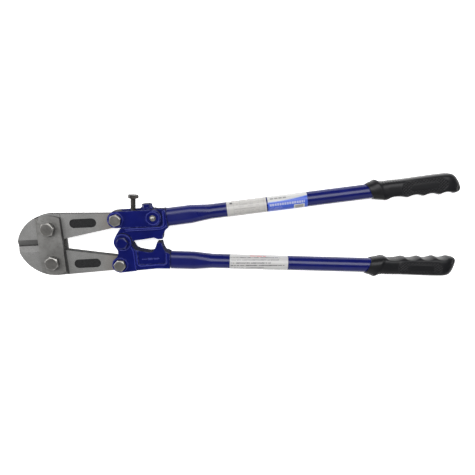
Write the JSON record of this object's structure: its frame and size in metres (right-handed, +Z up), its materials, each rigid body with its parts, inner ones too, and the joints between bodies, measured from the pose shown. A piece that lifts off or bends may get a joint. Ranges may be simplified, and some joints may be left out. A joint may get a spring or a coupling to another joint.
{
  "type": "bolt cutters",
  "caption": "Compound-lever bolt cutters: two forged jaws in side plates, forked and strapped frames, tubular handles with rubber grips.",
  "frame": {"origin": "axis of the handle pivot bolt, at the lower end of the bolt, on the plane the tool lies on", "axes": "+X from the pivot towards the grips, +Y towards the handle with the adjusting screw, +Z up along every pivot axis"},
  "size_m": [0.6071, 0.1447, 0.0354],
  "materials": {
    "jaw_steel": "satin ground steel",
    "plate_steel": "satin",
    "bolt_steel": "dull oiled steel",
    "washer_steel": "satin",
    "rivet_steel": "bright",
    "screw_steel": "dark phosphated steel",
    "blue_paint": "glossy enamel",
    "tube_paint": "glossy enamel",
    "grip_rubber": "matt",
    "grey_label": "printed film",
    "colour_label": "printed film",
    "white_label": "printed film"
  },
  "bodies": {
    "lower_handle": {"lower_frame": "blue_paint", "lower_tube": "tube_paint", "lower_grip": "grip_rubber", "lower_label": "white_label", "pivot_bolt": "blue_paint", "pivot_nut": "blue_paint", "tail_bolt_lower": "bolt_steel", "tail_nut_lower": "bolt_steel"},
    "upper_handle": {"upper_frame": "blue_paint", "upper_tube": "tube_paint", "upper_grip": "grip_rubber", "upper_label_front": "grey_label", "upper_label_rear": "colour_label", "strap_rivet": "rivet_steel"},
    "lower_jaw": {"jaw_lower": "jaw_steel"},
    "side_plates": {"side_plate_front": "plate_steel", "side_plate_rear": "plate_steel", "plate_bolt_upper": "bolt_steel", "plate_bolt_lower": "bolt_steel", "plate_nut_upper": "bolt_steel", "plate_nut_lower": "bolt_steel", "lock_washer_upper": "washer_steel", "lock_washer_lower": "washer_steel"},
    "upper_jaw": {"jaw_upper": "jaw_steel"},
    "straps": {"strap_front": "blue_paint", "strap_rear": "blue_paint", "adjuster_block": "blue_paint", "tail_bolt_upper": "bolt_steel", "tail_nut_upper": "bolt_steel"},
    "adjusting_screw": {"adjusting_screw": "screw_steel"},
    "lock_bolt": {"lock_bolt": "blue_paint"}
  },
  "joints": [
    {"name": "handle_pivot", "type": "hinge", "parent": "lower_handle", "child": "upper_handle", "pos_m": [0, 0, 0.0177], "axis": [0, 0, 1], "range_deg": [0, 70]},
    {"name": "lower_jaw_pivot", "type": "hinge", "parent": "lower_handle", "child": "lower_jaw", "pos_m": [-0.0062, -0.0314, 0.0177], "axis": [0, 0, 1], "range_deg": [0, 40.5]},
    {"name": "lower_plate_pivot", "type": "hinge", "parent": "lower_jaw", "child": "side_plates", "pos_m": [-0.0971, -0.0235, 0.0177], "axis": [0, 0, 1], "range_deg": [-5.5, 0]},
    {"name": "upper_jaw_pivot", "type": "hinge", "parent": "side_plates", "child": "upper_jaw", "pos_m": [-0.0971, 0.0235, 0.0177], "axis": [0, 0, 1], "range_deg": [-5.5, 0]},
    {"name": "adjusting_screw_turn", "type": "hinge", "parent": "upper_handle", "child": "adjusting_screw", "pos_m": [0.0162, 0.0426, 0.0177], "axis": [0.0958, 0.9954, 0], "range_deg": [-60, 60]},
    {"name": "strap_pivot", "type": "hinge", "parent": "upper_handle", "child": "straps", "pos_m": [0.0435, 0.0314, 0.0177], "axis": [0, 0, 1], "range_deg": [-0.5, 0.5]},
    {"name": "lock_bolt_turn", "type": "hinge", "parent": "upper_handle", "child": "lock_bolt", "pos_m": [0.0355, 0.043, 0.0177], "axis": [0, 1, 0], "range_deg": [0, 180]}
  ],
  "couplings": [
    {"joint": "lower_jaw_pivot", "follows": "handle_pivot", "ratio": 0.575},
    {"joint": "lower_plate_pivot", "follows": "handle_pivot", "ratio": -0.075},
    {"joint": "upper_jaw_pivot", "follows": "handle_pivot", "ratio": -0.075},
    {"joint": "strap_pivot", "follows": "adjusting_screw_turn", "ratio": 0.0073}
  ]
}
